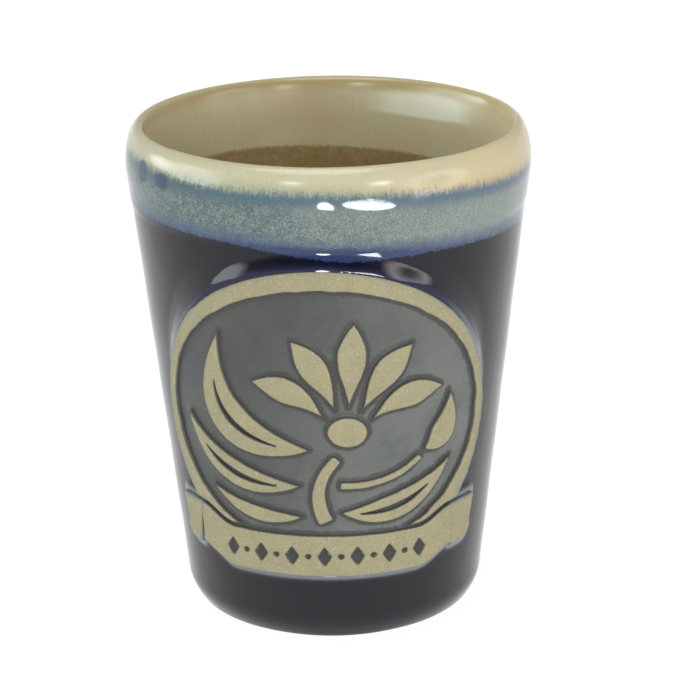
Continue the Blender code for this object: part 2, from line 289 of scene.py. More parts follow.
def rounded(outline, passes, step):
    """Softens the corners of an outline by repeated averaging."""
    points = even(outline, step)
    for _ in range(passes):
        points = (points * 2 + np.roll(points, 1, axis=0) + np.roll(points, -1, axis=0)) / 4
    return points


def hand_cut(outline, size=0.05):
    """Gives an outline the small unevenness of a pressed edge."""
    outline = anticlockwise(outline)

    def wander(broad_seed, fine_seed):
        broad = [noise.noise(Vector((x * 0.55, y * 0.55, broad_seed))) for x, y in outline]
        fine = [noise.noise(Vector((x * 1.9, y * 1.9, fine_seed))) for x, y in outline]
        return np.array(broad) + 0.5 * np.array(fine)

    return outline + np.stack([wander(3.1, 7.7), wander(11.3, 19.1)], axis=1) * size


def curve_point(base, control, tip, t):
    base, control, tip = (np.array(p, float) for p in (base, control, tip))
    here = base * (1 - t) ** 2 + control * 2 * t * (1 - t) + tip * t ** 2
    along = (control - base) * (1 - t) + (tip - control) * t
    along /= np.hypot(*along)
    return here, np.array((-along[1], along[0]))


def stroke(base, control, tip, widths, steps=30):
    left, right = [], []
    for i in range(steps + 1):
        here, across = curve_point(base, control, tip, i / steps)
        half = widths[0] + (widths[1] - widths[0]) * i / steps
        left.append(here + across * half)
        right.append(here - across * half)
    return np.array(left + right[::-1])


def leaf(base, control, tip, half_width, belly, steps=40):
    left, right = [], []
    for i in range(1, steps):
        here, across = curve_point(base, control, tip, i / steps)
        half = half_width * math.sin(math.pi * (i / steps) ** belly)
        left.append(here + across * half)
        right.append(here - across * half)
    return np.array([np.array(base, float), *right, np.array(tip, float), *left[::-1]])


def rib(base, control, tip):
    start, _ = curve_point(base, control, tip, 0.14)
    middle, _ = curve_point(base, control, tip, 0.45)
    end, _ = curve_point(base, control, tip, 0.74)
    return leaf(start, middle * 2 - (start + end) * 0.5, end, RIB_HALF, 1.0, steps=24)


def turned_about(points, centre, angle):
    c, s = math.cos(angle), math.sin(angle)
    return np.asarray(points) @ np.array([[c, s], [-s, c]]) + np.array(centre)


def petal(place):
    reach = PETAL_REACH * (1 - 0.10 * abs(place))
    curl = 1.5 * place
    half = PETAL_HALF * (1 - 0.06 * abs(place))
    upright = leaf((0.0, PETAL_ROOT), (-curl, (PETAL_ROOT + reach) / 2), (curl, reach), half, 1.35)
    return turned_about(turned_about(upright, (0.0, 0.0), -place * PETAL_SPREAD), BLOOM, BLOOM_LEAN)


def ring_outlines():
    return ellipse((0, 0), RING_OUTER, 400), ellipse((0, RING_INNER_RISE), RING_INNER, 400)


def ribbon_edge(level, across):
    return level + RIBBON_CURL * smooth_step((np.abs(across) - CURL_START) / (RIBBON_HALF - CURL_START))


def ribbon():
    across = np.linspace(-RIBBON_HALF, RIBBON_HALF, 121)
    bottom = np.stack([across, ribbon_edge(RIBBON_BOTTOM, across)], axis=1)
    top = np.stack([across, ribbon_edge(RIBBON_TOP, across)], axis=1)
    return rounded(np.concatenate([bottom, top[::-1]]), 3, 0.3)


def tail(side):
    """A folded end of the ribbon. The left one shows a wedge of shadow beside the ribbon."""
    near = RIBBON_HALF - 0.3
    foot = near + (1.0 if side < 0 else 0.0)
    corners = np.array([
        (foot, TAIL_FOOT - 0.4),
        (TAIL_END - 1.6, TAIL_FOOT - 0.1),
        (TAIL_END - 0.7, TAIL_FOOT + 1.3),
        (TAIL_END - 0.9, TAIL_FOOT + 2.4),
        (TAIL_END, TAIL_TOP + 0.3),
        (TAIL_END - 1.8, TAIL_TOP + 0.2),
        (near, TAIL_TOP + 0.1),
    ])
    return anticlockwise(rounded(corners * (side, 1), 4, 0.25))


def ribbon_ornament():
    middle = (RIBBON_TOP + RIBBON_BOTTOM) / 2
    half_row = LOZENGE_PITCH * (LOZENGES - 1) / 2
    cuts = []
    for i in range(LOZENGES):
        x = -half_row + LOZENGE_PITCH * i
        cuts.append(rounded(ellipse((x, ribbon_edge(middle, x)), LOZENGE_HALF, 4), 2, 0.22))
        if i < LOZENGES - 1:
            between = x + LOZENGE_PITCH / 2
            cuts.append(ellipse((between, ribbon_edge(middle, between)), (DOT_RADIUS, DOT_RADIUS), 14))
    return cuts


def emblem():
    """{node: (outline, slits)} of the flower spray."""
    shapes = {
        "bloom_calyx": (turned_about(ellipse((0, 0), CALYX_HALF, 60), BLOOM, BLOOM_LEAN), []),
        "spray_stem": (rounded(stroke(*STEM, (0.95, 0.62)), 3, 0.3), []),
        "bud_stem": (rounded(stroke(*BUD_STEM, (0.5, 0.42)), 2, 0.3), []),
        "bud": (leaf(*BUD, 1.7, 0.85), []),
    }
    for i in range(PETALS):
        shapes[f"bloom_petal_{i + 1}"] = (petal(2 * i / (PETALS - 1) - 1), [])
    for name, (base, control, tip, half_width, ribbed) in LEAVES.items():
        slits = [rib(base, control, tip)] if ribbed else []
        shapes[name] = (leaf(base, control, tip, half_width, 0.85), slits)
    return shapes


def edge_distance(points, outlines):
    """Distance from each point to the nearest edge of any of the outlines."""
    best = np.full(len(points), 1e9)
    for outline in outlines:
        starts = np.asarray(outline, float)
        sides = np.roll(starts, -1, axis=0) - starts
        low, high = starts.min(axis=0) - 6, starts.max(axis=0) + 6
        near = np.nonzero(((points > low) & (points < high)).all(axis=1))[0]
        if not len(near):
            continue
        here, closest = points[near], best[near]
        for start, side in zip(starts, sides):
            gap = here - start
            share = np.clip(gap @ side / max(side @ side, 1e-12), 0, 1)
            miss = gap - share[:, None] * side
            np.minimum(closest, np.hypot(*miss.T), out=closest)
        best[near] = closest
    return best


def is_inside(points, outline):
    x, y = points.T
    odd = np.zeros(len(points), bool)
    for (x0, y0), (x1, y1) in zip(outline, np.roll(outline, -1, axis=0)):
        if y0 == y1:
            continue
        crosses = (y0 > y) != (y1 > y)
        odd ^= crosses & (x < (x1 - x0) * (y - y0) / (y1 - y0) + x0)
    return odd


def outside_distance(points, outlines):
    """Signed distance to a union of outlines: positive outside it, negative inside."""
    signed = np.full(len(points), 1e9)
    for outline in outlines:
        gap = edge_distance(points, [outline])
        signed = np.minimum(signed, np.where(is_inside(points, outline), -gap, gap))
    return signed


# ---------------------------------------------------------------- meshes

def lay_on_wall(flat, lift):
    """Flat medallion points, at lifts out from the glazed wall, as points in space (mm)."""
    z = MEDALLION_CENTRE + flat[:, 1]
    radius = outer_radius(z)
    angle = flat[:, 0] / radius
    return np.stack([(radius + lift) * np.sin(angle), -(radius + lift) * np.cos(angle), z], axis=1)


def in_scene(name, data):
    obj = bpy.data.objects.new(name, data)
    bpy.context.scene.collection.objects.link(obj)
    return obj


def make_object(name, points, faces, attributes, material, nodes, sharp):
    """A smooth-shaded piece from points in mm, standing for CAD nodes and riding on the root."""
    mesh = bpy.data.meshes.new(name)
    mesh.from_pydata((np.asarray(points) * MM).tolist(), [], [tuple(f) for f in faces])
    for key, values in attributes.items():
        layer = mesh.attributes.new(key, "FLOAT", "POINT")
        layer.data.foreach_set("value", np.asarray(values, np.float32))
    mesh.validate()
    mesh.update()
    mesh.shade_smooth()
    mesh.set_sharp_from_angle(angle=math.radians(sharp))
    obj = in_scene(name, mesh)
    mesh.materials.append(material)
    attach(obj, "root")
    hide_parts(*nodes)


def turned(name, rows, attributes, material, nodes):
    """A closed lathe. rows is (row, column, 3) points in mm, and the columns close into a ring.

    The rows close into a loop too, unless the first one lies on the axis. A row on the axis becomes
    one point, at its mean height.
    """
    count_rows, count_columns = rows.shape[:2]
    points, index = [], np.zeros((count_rows, count_columns), int)
    flat_values = {key: [] for key in attributes}
    for i in range(count_rows):
        pole = np.abs(rows[i, :, :2]).max() < 1e-6
        for j in range(1 if pole else count_columns):
            index[i, j] = len(points)
            points.append(rows[i].mean(axis=0) if pole else rows[i, j])
            for key, values in attributes.items():
                flat_values[key].append(values[i, j])
        if pole:
            index[i, :] = index[i, 0]
    faces = []
    closed = index[0, 0] != index[0, 1]
    for i in range(count_rows if closed else count_rows - 1):
        k = (i + 1) % count_rows
        for j in range(count_columns):
            m = (j + 1) % count_columns
            ring = [index[i, j], index[i, m], index[k, m], index[k, j]]
            ring = [v for n, v in enumerate(ring) if v not in ring[:n]]
            faces.append([int(v) for v in ring])
    make_object(name, points, faces, flat_values, material, nodes, LATHE_SHARP)


def lathe_rows(travels, lifts, angles):
    """Points on the surface at travels, raised by lifts (row, column), at the column angles."""
    r, z, n_r, n_z = surface_at(travels)
    radius = r[:, None] + lifts * n_r[:, None]
    radius[r < 0.02] = 0.0
    height = z[:, None] + lifts * n_z[:, None]
    return np.stack([radius * np.sin(angles), -radius * np.cos(angles), height + 0 * angles], axis=2)


def boxed(faces, count):
    """The faces of a flat sheet, the same turned over count points later, and walls round the edge."""
    sides = {side: True for face in faces for side in zip(face, face[1:] + face[:1])}
    rims = [(a, b) for a, b in sides if (b, a) not in sides]
    below = [[i + count for i in reversed(face)] for face in faces]
    return faces + below + [[b, a, a + count, b + count] for a, b in rims]


def spare_points(loops, count_added, carved, step, rows):
    """Points to mesh a region with: rows that follow its outlines, and a triangular grid between."""
    candidates = [grow(loop, sign * distance) for loop in loops for distance in rows for sign in (-1, 1)]
    for loop in carved:
        for distance in CARVE_ROWS:
            candidates += [grow(loop, distance), grow(loop, -distance)]
    low = np.min([loop.min(axis=0) for loop in loops], axis=0)
    high = np.max([loop.max(axis=0) for loop in loops], axis=0)
    xs, ys = np.arange(low[0], high[0], step), np.arange(low[1], high[1], step * 0.87)
    grid = np.array([(x + step / 2 * (j % 2), y) for j, y in enumerate(ys) for x in xs])
    spare = np.concatenate([*candidates, grid[edge_distance(grid, loops) > rows[-1] + 0.1]])
    within = np.zeros(len(spare), bool)
    for outline in loops[:count_added]:
        within |= is_inside(spare, outline)
    for outline in loops[count_added:]:
        within &= ~is_inside(spare, outline)
    spare = spare[within]
    spare = spare[edge_distance(spare, loops) > rows[0] * 0.8]
    kept, taken = [], set()
    for point, gap in zip(spare, edge_distance(spare, loops)):
        size = 0.05 + 0.3 * min(gap, 0.5)
        key = (round(point[0] / size), round(point[1] / size), round(size, 1))
        if key not in taken:
            taken.add(key)
            kept.append(point)
    return np.array(kept).reshape(-1, 2)


def slab(name, node, add, cut, heights, base, clay, step=0.5, rows=EDGE_ROWS, carve=()):
    """A closed solid over a flat region: inside any outline of add, outside every outline of cut.

    heights(points, edge, carve_depth) gives its top, where edge is the distance to the region's own
    outline and carve_depth the signed distance inside the carved outlines.
    """
    loops = [even(anticlockwise(o), 0.3) for o in [*add, *cut]]
    carved = [anticlockwise(o) for o in carve]
    fixed = [*loops, *carved]
    points = np.concatenate([*fixed, spare_points(loops, len(add), carved, step, rows)])
    faces, edges, start = [], [], 0
    for i, loop in enumerate(fixed):
        ids = list(range(start, start + len(loop)))
        if i < len(loops):
            faces.append(ids)
        else:
            edges += list(zip(ids, ids[1:] + ids[:1]))
        start += len(loop)
    mesh = delaunay_2d_cdt([Vector(p) for p in points], edges, faces, 0, 1e-5)
    flat, triangles, sources = mesh[0], mesh[2], mesh[5]
    kept = [t for t, owners in zip(triangles, sources) if owners and max(owners) < len(add)]
    used, renumbered = np.unique(np.array(kept), return_inverse=True)
    triangles = renumbered.reshape(-1, 3).tolist()
    flat = np.array([tuple(p) for p in flat])[used]
    edge = edge_distance(flat, loops)
    depth = -outside_distance(flat, carved) if carved else np.full(len(flat), -9.0)
    top, extra = heights(flat, edge, depth)
    count = len(flat)
    space = np.concatenate([lay_on_wall(flat, top), lay_on_wall(flat, np.full(count, base))])
    values = {"edge_mm": np.concatenate([edge, np.zeros(count)])}
    for key, row in extra.items():
        values[key] = np.concatenate([row, row])
    solid = boxed(triangles, count)
    make_object(name, space, solid, values, clay, [node], RELIEF_SHARP)


# ---------------------------------------------------------------- materials

class Nodes:
    """Small helper for building a node tree."""

    def __init__(self, tree):
        self.tree = tree

    def node(self, kind, **settings):
        made = self.tree.nodes.new(kind)
        for key, value in settings.items():
            setattr(made, key, value)
        return made

    def put(self, socket, value):
        if isinstance(value, bpy.types.NodeSocket):
            self.tree.links.new(value, socket)
        elif hasattr(socket.default_value, "__len__") and not hasattr(value, "__len__"):
            socket.default_value = (value,) * len(socket.default_value)
        elif hasattr(value, "__len__") and len(value) == 3 and len(socket.default_value) == 4:
            socket.default_value = (*value, 1)
        else:
            socket.default_value = value

    def math(self, operation, a, b=0.0):
        made = self.node("ShaderNodeMath", operation=operation)
        self.put(made.inputs[0], a)
        self.put(made.inputs[1], b)
        return made.outputs[0]

    def times(self, a, b):
        return self.math("MULTIPLY", a, b)

    def plus(self, a, b):
        return self.math("ADD", a, b)

    def ragged(self, value, noise_value, size):
        """value, moved up or down by a noise of this size."""
        return self.plus(value, self.times(self.math("SUBTRACT", noise_value, 0.5), size))

    def mix(self, share, a, b):
        made = self.node("ShaderNodeMix", data_type="RGBA", clamp_factor=True)
        self.put(made.inputs["Factor"], share)
        self.put(made.inputs[6], a)
        self.put(made.inputs[7], b)
        return made.outputs[2]

    def blend(self, share, a, b):
        """Numbers rather than colours."""
        made = self.node("ShaderNodeMix", data_type="FLOAT", clamp_factor=True)
        self.put(made.inputs["Factor"], share)
        self.put(made.inputs[2], a)
        self.put(made.inputs[3], b)
        return made.outputs[0]

    def ramp(self, value, low, high, to_low=0.0, to_high=1.0):
        """value from low..high to to_low..to_high, eased and clamped."""
        made = self.node("ShaderNodeMapRange", interpolation_type="SMOOTHSTEP")
        for socket, given in zip(made.inputs, (value, low, high, to_low, to_high)):
            self.put(socket, given)
        return made.outputs[0]

    def dot(self, a, b):
        made = self.node("ShaderNodeVectorMath", operation="DOT_PRODUCT")
        self.put(made.inputs[0], a)
        self.put(made.inputs[1], b)
        return made.outputs["Value"]


class Shader(Nodes):
    """A material: a node tree that ends in one principled shader."""

    def __init__(self, name):
        self.material = bpy.data.materials.new(name)
        self.material.use_nodes = True
        super().__init__(self.material.node_tree)
        self.bsdf = self.tree.nodes["Principled BSDF"]

    def attribute(self, name):
        return self.node("ShaderNodeAttribute", attribute_name=name).outputs["Fac"]

    def place(self, stretch=(1, 1, 1)):
        """Object coordinates in mm, stretched."""
        coordinates = self.node("ShaderNodeTexCoord").outputs["Object"]
        made = self.node("ShaderNodeMapping")
        self.put(made.inputs["Vector"], coordinates)
        made.inputs["Scale"].default_value = [1000 * s for s in stretch]
        return made.outputs[0]

    def noise(self, scale, detail=2.0, rough=0.5, stretch=(1, 1, 1)):
        """Noise with features about 1/scale mm across, 0 to 1."""
        made = self.node("ShaderNodeTexNoise")
        self.put(made.inputs["Vector"], self.place(stretch))
        made.inputs["Scale"].default_value = scale
        made.inputs["Detail"].default_value = detail
        made.inputs["Roughness"].default_value = rough
        return made.outputs["Fac"]

    def cells(self, scale):
        """Two random numbers, each constant within cells about 1/scale mm across."""
        made = self.node("ShaderNodeTexVoronoi")
        self.put(made.inputs["Vector"], self.place())
        made.inputs["Scale"].default_value = scale
        separate = self.node("ShaderNodeSeparateColor")
        self.put(separate.inputs[0], made.outputs["Color"])
        return separate.outputs[0], separate.outputs[1]

    def bump(self, height, strength, distance_mm, normal=None):
        made = self.node("ShaderNodeBump")
        made.inputs["Strength"].default_value = strength
        made.inputs["Distance"].default_value = distance_mm * MM
        self.put(made.inputs["Height"], height)
        if normal is not None:
            self.put(made.inputs["Normal"], normal)
        return made.outputs["Normal"]

    def finish(self, colour, roughness, normal=None, specular=0.5, ior=1.5):
        self.put(self.bsdf.inputs["Base Color"], colour)
        self.put(self.bsdf.inputs["Roughness"], roughness)
        self.bsdf.inputs["Specular IOR Level"].default_value = specular
        self.bsdf.inputs["IOR"].default_value = ior
        if normal is not None:
            self.put(self.bsdf.inputs["Normal"], normal)
        return self.material


def cup_glaze():
    """Cobalt outside; a rutile blue band and cream lip where the rim was dipped; tan and brown inside."""
    s = Shader("cup_glaze")
    grain = s.noise(4.4, 3.0, 0.7)
    crumbs = s.noise(8.0, 2.0, 0.6)
    mottle = s.noise(1.1, 3.0, 0.6)
    drift = s.noise(0.14, 2.0, 0.5)
    streak = s.noise(2.6, 3.0, 0.65, stretch=(1, 1, 0.22))
    teeth = s.noise(3.4, 3.0, 0.65, stretch=(1, 1, 0.35))
    band_height = s.attribute("band_mm")
    cream_height = s.attribute("cream_mm")
    travel = s.attribute("travel_mm")
    pool = s.attribute("pool")
    tone = s.attribute("tone")
    painted_light_marks = s.attribute("painted_light_marks")
    uneven_tone = s.ragged(tone, drift, 0.8)

    # Mid-band: grey-green blue full of fine pale flecks
    body = s.mix(s.ramp(grain, 0.42, 0.58), (0.047, 0.081, 0.091), (0.112, 0.147, 0.142))
    body = s.mix(s.times(s.ramp(uneven_tone, 0.35, 0.95), 0.6), body, (0.190, 0.230, 0.215))
    crowded = s.ramp(s.plus(mottle, s.times(tone, 0.12)), 0.42, 0.60)
    flecks = s.times(s.ramp(crumbs, 0.49, 0.63), crowded)
    middle = s.times(s.ramp(band_height, 0.9, 2.4), s.ramp(cream_height, -1.0, -2.4))
    body = s.mix(s.times(flecks, s.blend(middle, 0.10, 0.62)), body, (0.320, 0.330, 0.250))

    # Its lower edge turns slate, then cobalt blue, above all where it pools over the medallion
    low = s.math("SUBTRACT", s.ragged(band_height, mottle, 1.6), s.times(pool, 1.5))
    body = s.mix(s.times(s.ramp(low, 2.6, 0.5), 0.72), body, (0.054, 0.087, 0.130))
    edge_blue = s.mix(pool, (0.028, 0.042, 0.120), (0.013, 0.021, 0.075))
    body = s.mix(s.times(s.ramp(s.ragged(low, grain, 0.9), 1.0, -0.25), 0.9), body, edge_blue)

    # Its upper edge is teal, with cream streaking down into it
    high = s.ragged(s.ragged(cream_height, streak, 1.6), grain, 1.2)
    teal = s.mix(tone, (0.042, 0.088, 0.098), (0.060, 0.100, 0.160))
    body = s.mix(s.times(s.ramp(high, -2.2, -0.5), 0.85), body, teal)
    cream = s.mix(s.ramp(streak, 0.35, 0.7), (0.372, 0.358, 0.235), (0.405, 0.388, 0.262))
    cream = s.mix(s.times(s.ramp(uneven_tone, 0.45, 0.95), 0.8), cream, (0.465, 0.390, 0.235))
    edge_cream = s.mix(s.ramp(tone, 0.45, 0.85), (0.285, 0.300, 0.195), (0.420, 0.340, 0.165))
    cream = s.mix(s.times(s.ramp(cream_height, 1.9, 0.3), 0.7), cream, edge_cream)
    cream = s.mix(s.times(s.ramp(grain, 0.52, 0.72), 0.5), cream, (0.37, 0.36, 0.25))
    upper = s.mix(s.ramp(high, -0.75, 0.75), body, cream)
    # Painted reflection: two dark blue streaks on the cream lip stand for the dark gaps between a window's
    # reflections
    painted_dark_streaks = s.times(s.ramp(s.ragged(painted_light_marks, grain, 0.3), 0.25, 0.75), 0.85)
    upper = s.mix(painted_dark_streaks, upper, (0.026, 0.050, 0.088))

    # Cobalt, nearly black, and pale blue-grey where it thins against the medallion
    cobalt = s.mix(s.ramp(mottle, 0.3, 0.7), (0.0012, 0.0010, 0.0035), (0.0022, 0.0018, 0.0060))
    near = s.ragged(s.attribute("near_mm"), grain, 0.25)
    cobalt = s.mix(s.ramp(near, 1.1, 0.3), cobalt, (0.0045, 0.0065, 0.026))
    thin = s.times(s.ramp(near, 0.85, 0.15), s.attribute("thin"))
    cobalt = s.mix(thin, cobalt, (0.170, 0.195, 0.210))
    cobalt = s.mix(s.times(pool, 0.3), cobalt, (0.002, 0.003, 0.022))
    ragged_edge = s.ragged(s.ragged(band_height, teeth, 0.9), crumbs, 0.35)
    outside = s.mix(s.ramp(ragged_edge, -0.08, 0.10), cobalt, upper)

    # Inside: tan above the tide line, brown below, and a painted patch of light
    tan = s.mix(s.ramp(streak, 0.3, 0.7), (0.455, 0.420, 0.245), (0.485, 0.450, 0.275))
    tan = s.mix(s.ramp(drift, 0.38, 0.64), tan, (0.475, 0.400, 0.235))
    brown = s.mix(s.ramp(mottle, 0.3, 0.7), (0.235, 0.165, 0.060), (0.300, 0.225, 0.100))
    tide = s.ragged(s.ragged(s.attribute("tide_mm"), teeth, 1.0), grain, 0.6)
    within = s.mix(s.ramp(tide, -0.2, 0.35), brown, tan)
    # Painted light: a pale patch on the far inner wall, where light from the left falls below the rim's
    # shadow
    pale = s.times(s.ramp(s.ragged(painted_light_marks, mottle, 0.25), 0.10, 0.75), 0.8)
    within = s.mix(pale, within, (0.70, 0.71, 0.55))
    within = s.mix(s.ramp(travel, -2.6, -0.6), within, (0.39, 0.315, 0.145))
    colour = s.mix(s.ramp(travel, -0.9, 0.5), within, outside)

    ripple = s.bump(s.noise(0.30, 1.0, 0.4), 0.10, 0.25)
    peel = s.bump(mottle, 0.10, 0.05, ripple)
    satin_inside = s.ramp(travel, -0.6, -2.2, 0.0, 0.10)
    satin = s.plus(satin_inside, s.times(s.ramp(cream_height, -0.2, 0.8), 0.14))
    return s.finish(colour, s.plus(satin, s.ramp(grain, 0.3, 0.7, 0.035, 0.075)), peel, ior=1.46)


def bare_clay(name, deep, pale, marked):
    """Fired buff stoneware: fine grain, dark iron specks, grey glaze stain on its low edges, and a dark
    line at its outline, partly glaze pooled there and partly painted shade.
    """
    s = Shader(name)
    grain = s.noise(5.5, 3.0, 0.7)
    blotch = s.noise(0.35, 3.0, 0.55)
    dark_cell, pale_cell = s.cells(4.2)
    colour = s.mix(s.ramp(grain, 0.36, 0.66), deep, pale)
    colour = s.mix(s.times(s.ramp(blotch, 0.42, 0.66), 0.5), colour, (0.287, 0.260, 0.147))
    specks = s.times(s.ramp(dark_cell, 0.90, 0.97), s.ramp(grain, 0.42, 0.60))
    colour = s.mix(s.times(specks, 0.55), colour, (0.16, 0.135, 0.09))
    sparkle = s.times(s.ramp(pale_cell, 0.94, 0.99), 0.25)
    colour = s.mix(sparkle, colour, (0.50, 0.47, 0.36))
    if marked:
        # A dark line along the relief's outline and down its walls: painted shade where the relief meets
        # the ground, with some pooled glaze
        edge = s.ragged(s.attribute("edge_mm"), grain, 0.16)
        colour = s.mix(s.ramp(edge, 0.17, 0.03), colour, (0.070, 0.072, 0.062))
        colour = s.mix(s.attribute("stain"), colour, (0.160, 0.182, 0.190))
        # The carved marks on the ribbon are coloured near black
        colour = s.mix(s.attribute("carved_dark"), colour, (0.036, 0.037, 0.034))
    normal = s.bump(grain, 0.32, 0.05, s.bump(s.noise(1.4, 2.0, 0.5), 0.12, 0.12))
    return s.finish(colour, s.ramp(grain, 0.3, 0.7, 0.52, 0.72), normal, specular=0.35)


def ground_glaze():
    """Grey satin glaze flooding the ground. A painted sheen darkens it towards the left and top, and it
    darkens beside raised clay, partly from glaze pooled there and partly as painted shade.
    """
    s = Shader("ground_glaze")
    mottle = s.noise(0.7, 3.0, 0.55)
    drift = s.noise(0.12, 2.0, 0.5)
    grain = s.noise(4.0, 2.0, 0.6)
    colour = s.mix(s.ramp(mottle, 0.3, 0.7), (0.086, 0.096, 0.088), (0.104, 0.114, 0.104))
    colour = s.mix(s.ramp(drift, 0.40, 0.62), colour, (0.118, 0.125, 0.115))
    # Painted sheen: the ground is darker to the left and top and lighter to the right and bottom, as if it
    # reflected a bright side
    tone = s.ramp(s.attribute("painted_sheen_mm"), -13.0, 13.0, 0.44, 0.95)
    colour = s.mix(tone, (0, 0, 0), colour)
    # Beside raised clay the ground goes near black: partly glaze pooled against the clay, partly painted
    # shade
    near = s.ragged(s.attribute("edge_mm"), s.noise(0.9, 2.0, 0.5), 0.55)
    near = s.ragged(near, grain, 0.12)
    colour = s.mix(s.times(s.ramp(near, 0.72, 0.36), 0.92), colour, (0.030, 0.031, 0.029))
    normal = s.bump(mottle, 0.10, 0.12, s.bump(s.noise(0.22, 1.0, 0.4), 0.15, 0.4))
    return s.finish(colour, s.ramp(grain, 0.3, 0.7, 0.25, 0.34), normal, ior=1.5)


# ---------------------------------------------------------------- pieces

def columns():
    """Angles round the cup, close together behind the medallion's edge and wide apart at the back."""
    crown = np.linspace(-0.66, 0.66, 190)
    side = np.linspace(0.66, 1.2, 42)[1:]
    far = np.linspace(1.2, 2 * math.pi - 1.2, 96)[1:-1]
    return np.concatenate([-side[::-1], crown, side, far])


def from_front(angles):
    """The same angles, from -pi to pi and 0 in front."""
    return (angles + math.pi) % (2 * math.pi) - math.pi


def out_of_round(angles, z):
    """The thrown cup's slight unevenness, in mm."""
    oval = 0.05 * np.sin(2 * angles + 0.7) * z / HEIGHT
    lobes = 0.035 * np.sin(3 * angles - 0.03 * z + 2.0)
    ridges = 0.02 * np.sin(0.55 * z + 1.3 * np.sin(angles))
    return oval + lobes + ridges


def soft_rise(x, fillet):
    """x where it is positive and 0 where it is not, with a rounded corner between."""
    return fillet * np.logaddexp(0, x / fillet)


def bead_profile(gap, crown, height):
    """Height of the glaze roll at a distance from the medallion: a gentle fillet, a steep face, a crest."""
    crest = 0.13
    gentle = 0.235 * crown * soft_rise(0.9 + 3.1 * crown - gap, 0.22)
    steep = (0.58 - 0.42 * crown) * soft_rise(0.9 + 1.1 * crown - gap, 0.10 + 0.12 * crown)
    face = height - soft_rise(height - gentle - steep, crest)
    return face - 0.22 * height * (1 - crown) * (1 - np.clip(gap / 0.27, 0, 1)) ** 2


def bead_lift(angles, z, plaque):
    """How far the glaze stands out round the medallion, and how far each point is from its edge.

    The glaze has run down and gathered over the top of the plaque in a thick roll.
    """
    across = from_front(angles)[None, :] * outer_radius(z)[:, None]
    up = (z - MEDALLION_CENTRE)[:, None] + 0 * across
    gap = outside_distance(np.stack([across, up], axis=2).reshape(-1, 2), plaque).reshape(across.shape)
    tilt = np.arctan2(across / RING_OUTER[0], up / RING_OUTER[1])
    crown = smooth_step(np.cos(tilt), -0.15, 0.85)
    height = 0.52 + 0.78 * crown + 0.04 * waves(across, up, 9, 7.0)
    sway = 0.15 * waves(across, up, 5, 12.0) * crown
    bead = bead_profile(np.clip(gap, 0, 9) + sway * smooth_step(gap, 0, 1.5), crown, height)
    sink = smooth_step(-gap, 0.0, 0.55)
    edge = bead_profile(0.0, crown, height)
    return np.where(gap > 0, bead, edge * (1 - sink) - 0.33 * sink), gap


def glaze_marks(travels, angles, gap):
    """The float attributes that the cup glaze's colours follow.

    gap is the distance from the medallion, for the first rows. The others are taken as far from it.
    """
    z = surface_at(travels)[1][:, None]
    travels = travels[:, None]
    front = from_front(angles)[None, :]
    turn = angles[None, :] - VIEW_TURN
    band_line = 53.35 - 1.35 * np.sin(turn) - 0.65 * bell(np.sin(turn / 2), 0.05, 0.17)
    cream_line = 60.45 - 1.0 * np.sin(turn) + 0.25 * np.sin(3 * turn + 1.0)
    tide_line = 54.2 - 0.5 * np.sin(turn + 0.6) + 0.3 * np.sin(2 * turn)
    band = travel_outside(band_line) - travels
    near = np.full(band.shape, 9.0)
    near[:len(gap)] = np.clip(gap, -1, 9)
    side = smooth_step(np.abs(np.sin(front)), 0.55, 0.85)
    # Painted light: dark streaks on the lip outside, for gaps between window reflections, and inside a pale
    # patch where light falls on the far wall
    painted_light_marks = np.zeros(band.shape)
    for place, width, top, foot in PAINTED_DARK_STREAKS:
        tall = smooth_step(z, foot - 0.5, foot + 0.8) * smooth_step(z, top + 0.6, top - 0.4)
        painted_light_marks = np.maximum(painted_light_marks, bell(front, place, width) * tall)
    place, width, top, foot = PAINTED_LIT_PATCH
    tall = smooth_step(z, foot - 0.5, foot + 0.7) * smooth_step(z, top, top - 1.6)
    return {
        "travel_mm": travels + 0 * front,
        "band_mm": band,
        "cream_mm": travel_outside(cream_line) - travels,
        "tide_mm": travels - travel_inside(tide_line),
        "near_mm": near,
        "thin": np.maximum(side, smooth_step(z, 20.0, 16.0) * 0.8),
        "pool": bell(front, 0.06, 0.40) * smooth_step(z, 55.5, 53.5) * smooth_step(z, 49.5, 51.5),
        "painted_light_marks": np.where(travels > 0, painted_light_marks, bell(front, place, width) * tall),
        "tone": 0.5 + 0.5 * np.sin(front) + 0 * travels,
    }


def front_swell(front, travels):
    """The rim glaze has run thick on the front, above the medallion."""
    along = bell(front - VIEW_TURN, 0.33, 0.42)
    return 0.36 * along * bell(travels[:, None], travel_outside(56.7), 2.1)


def glaze_coat(name, travels, lift, back, angles, material, gap=(), on_axis=False):
    """A closed coat: its face at lifts from the surface, then its back, which lies on the clay."""
    travels = np.concatenate([travels, back])
    lifts = np.concatenate([lift, np.full((len(back), len(angles)), -COAT)])
    marks = glaze_marks(travels, angles, np.reshape(gap, (-1, len(angles))))
    rows = lathe_rows(travels, lifts, angles)
    if on_axis:
        rows[[0, -1], :, :2] = 0.0
    turned(name, rows, marks, material, [name + "_coat"])


